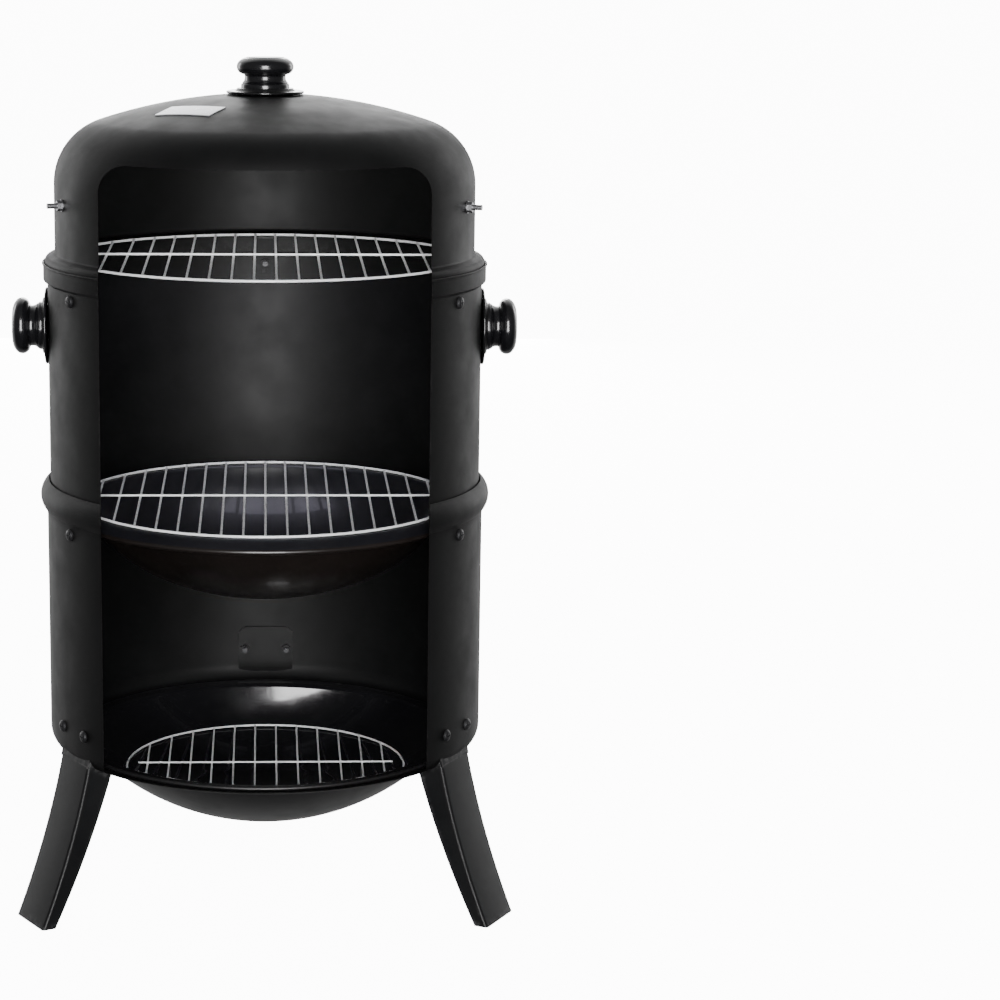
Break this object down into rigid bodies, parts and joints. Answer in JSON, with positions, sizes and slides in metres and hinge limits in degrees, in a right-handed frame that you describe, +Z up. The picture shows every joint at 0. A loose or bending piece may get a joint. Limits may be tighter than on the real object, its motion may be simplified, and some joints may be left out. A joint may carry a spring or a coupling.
{
  "type": "vertical water smoker",
  "caption": "Upright charcoal water smoker with stacked barrels, domed lid, cut-away front, wire grates, water and charcoal bowls, knob handles and splayed legs.",
  "frame": {"origin": "on the floor under the axis of the barrels", "axes": "+Z up along the barrels' axis; the cut-away front faces -Y; +X to the right seen from the front"},
  "size_m": [0.4662, 0.4462, 0.7818],
  "materials": {
    "shell_black": "satin black heat-resistant powder coat, slightly grained",
    "leg_black": "satin black powder coat on folded sheet",
    "bracket_black": "satin black paint",
    "screw_dark": "blackened steel screw heads",
    "zinc": "zinc-plated steel",
    "knob_black": "glossy black phenolic",
    "plate_black": "gloss black enamel on pressed steel",
    "name_silver": "satin silver, blank",
    "grate_chrome": "bright chrome-plated wire",
    "foot_dark": "dark wire",
    "water_enamel": "gloss black enamel, brownish outside",
    "coal_enamel": "gloss black enamel"
  },
  "bodies": {
    "base": {"lower_barrel": "shell_black", "leg_left": "leg_black", "leg_right": "leg_black", "leg_rear": "leg_black", "leg_bolts": "screw_dark", "leg_nuts": "screw_dark", "lower_bracket_left": "bracket_black", "lower_bracket_right": "bracket_black", "lower_bracket_rear": "bracket_black", "lower_bracket_bolts": "screw_dark", "lower_bracket_nuts": "screw_dark"},
    "middle": {"middle_barrel": "shell_black", "upper_bracket_left": "bracket_black", "upper_bracket_right": "bracket_black", "upper_bracket_rear": "bracket_black", "upper_bracket_bolts": "screw_dark", "upper_bracket_nuts": "screw_dark", "handle_plate_left": "plate_black", "handle_plate_right": "plate_black", "handle_knob_left": "knob_black", "handle_knob_right": "knob_black", "handle_screws": "zinc"},
    "lid": {"lid": "shell_black", "lid_plate": "plate_black", "lid_knob": "knob_black", "lid_screw": "zinc", "name_plate": "name_silver", "lid_hook_left": "zinc", "lid_hook_right": "zinc", "lid_stud_bolts": "zinc", "lid_stud_washers": "zinc", "lid_stud_nuts": "zinc"},
    "upper_grate": {"upper_grate": "grate_chrome"},
    "water_bowl": {"water_bowl": "water_enamel"},
    "lower_grate": {"lower_grate": "grate_chrome"},
    "charcoal_bowl": {"charcoal_bowl": "coal_enamel"},
    "charcoal_grate": {"charcoal_grate": "grate_chrome", "charcoal_grate_feet": "foot_dark"}
  },
  "joints": [
    {"name": "middle_barrel_lift", "type": "slide", "parent": "base", "child": "middle", "axis": [0, 0, 1], "range_m": [0, 0.3]},
    {"name": "lid_lift", "type": "slide", "parent": "middle", "child": "lid", "axis": [0, 0, 1], "range_m": [0, 0.2]},
    {"name": "upper_grate_lift", "type": "slide", "parent": "middle", "child": "upper_grate", "axis": [0, 0, 1], "range_m": [0, 0.025]},
    {"name": "water_bowl_lift", "type": "slide", "parent": "base", "child": "water_bowl", "axis": [0, 0, 1], "range_m": [0, 0.12]},
    {"name": "lower_grate_lift", "type": "slide", "parent": "water_bowl", "child": "lower_grate", "axis": [0, 0, 1], "range_m": [0, 0.08]},
    {"name": "charcoal_bowl_lift", "type": "slide", "parent": "base", "child": "charcoal_bowl", "axis": [0, 0, 1], "range_m": [0, 0.1]},
    {"name": "charcoal_grate_lift", "type": "slide", "parent": "charcoal_bowl", "child": "charcoal_grate", "axis": [0, 0, 1], "range_m": [0, 0.05]}
  ]
}
